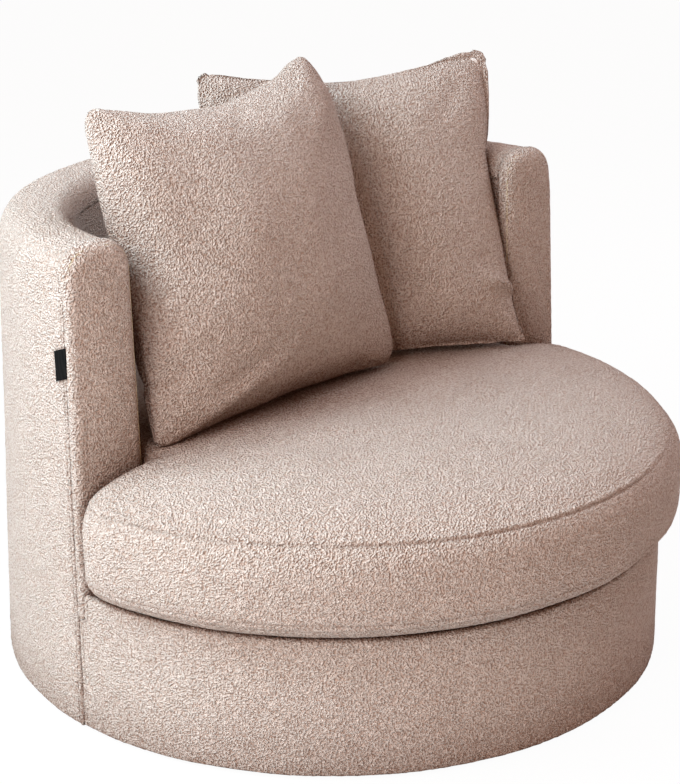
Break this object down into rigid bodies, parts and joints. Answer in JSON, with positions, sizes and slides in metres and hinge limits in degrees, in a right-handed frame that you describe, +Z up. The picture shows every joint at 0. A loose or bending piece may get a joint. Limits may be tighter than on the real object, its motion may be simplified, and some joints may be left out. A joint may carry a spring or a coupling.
{
  "type": "tub chair",
  "caption": "Round upholstered barrel chair on a hidden swivel plinth, with a loose overhanging seat cushion and scatter pillows.",
  "frame": {"origin": "on the swivel axis, at the floor under the middle of the plinth's felt", "axes": "+Z up along the swivel axis, -Y towards the front of the seat, +X towards the right arm as seen from the front"},
  "size_m": [1.0328, 1.0213, 0.8424],
  "materials": {
    "felt": "matte grey felt",
    "plywood": "raw birch plywood",
    "beech": "sawn beech",
    "hardboard": "tempered hardboard",
    "swivel_steel": "zinc-plated pressed steel",
    "ball_steel": "polished bearing steel",
    "screw_steel": "zinc-plated",
    "webbing": "woven elastic webbing",
    "foam": "open-cell foam",
    "wadding": "fibre wadding",
    "boucle": "looped boucle, matte",
    "boucle_pillow": "looped boucle, matte",
    "lining": "black non-woven",
    "label": "black woven tape, blank",
    "zip": "beige zip tape"
  },
  "bodies": {
    "swivel_base": {"floor_felt": "felt", "plinth": "plywood", "swivel_lower_plate": "swivel_steel", "swivel_balls": "ball_steel", "swivel_rivet": "swivel_steel", "plinth_screws": "screw_steel"},
    "chair_body": {"swivel_upper_plate": "swivel_steel", "swivel_screws": "screw_steel", "hem_ring": "plywood", "base_board": "plywood", "base_blocks": "beech", "deck_ring": "plywood", "lip_rail": "plywood", "lower_uprights": "beech", "upper_uprights": "beech", "arm_post_left": "beech", "arm_post_right": "beech", "mid_rail": "plywood", "top_rail": "plywood", "rail_screws": "screw_steel", "outer_board": "hardboard", "inner_board": "hardboard", "base_front_board": "hardboard", "straps_lengthwise": "webbing", "straps_crosswise": "webbing", "deck_pad": "felt", "deck_cloth": "lining", "tub_foam": "foam", "rim_foam": "foam", "arm_foam_left": "foam", "arm_foam_right": "foam", "outer_wadding": "wadding", "base_front_wadding": "wadding", "outer_cover": "boucle", "inner_cover": "boucle", "arm_end_cover_left": "boucle", "arm_end_cover_right": "boucle", "base_front_cover": "boucle", "dust_cover": "lining", "blank_label": "label"},
    "seat_cushion": {"seat_foam": "foam", "seat_wrap": "wadding", "seat_cover_top": "boucle", "seat_cover_band": "boucle", "seat_cover_bottom": "boucle", "seat_zip": "zip"},
    "pillow_right": {"pillow_right_front": "boucle_pillow", "pillow_right_back": "boucle_pillow", "pillow_right_filling": "wadding"},
    "pillow_left": {"pillow_left_front": "boucle_pillow", "pillow_left_back": "boucle_pillow", "pillow_left_filling": "wadding"}
  },
  "joints": [
    {"name": "base_swivel", "type": "hinge", "parent": "swivel_base", "child": "chair_body", "pos_m": [0, 0, 0.034], "axis": [0, 0, 1], "continuous": true},
    {"name": "seat_lift", "type": "slide", "parent": "chair_body", "child": "seat_cushion", "axis": [0, 0, 1], "range_m": [0, 0.52]},
    {"name": "right_pillow_lift", "type": "slide", "parent": "seat_cushion", "child": "pillow_right", "axis": [0, 0, 1], "range_m": [0, 0.35]},
    {"name": "left_pillow_lift", "type": "slide", "parent": "pillow_right", "child": "pillow_left", "axis": [0, 0, 1], "range_m": [0, 0.35]}
  ]
}
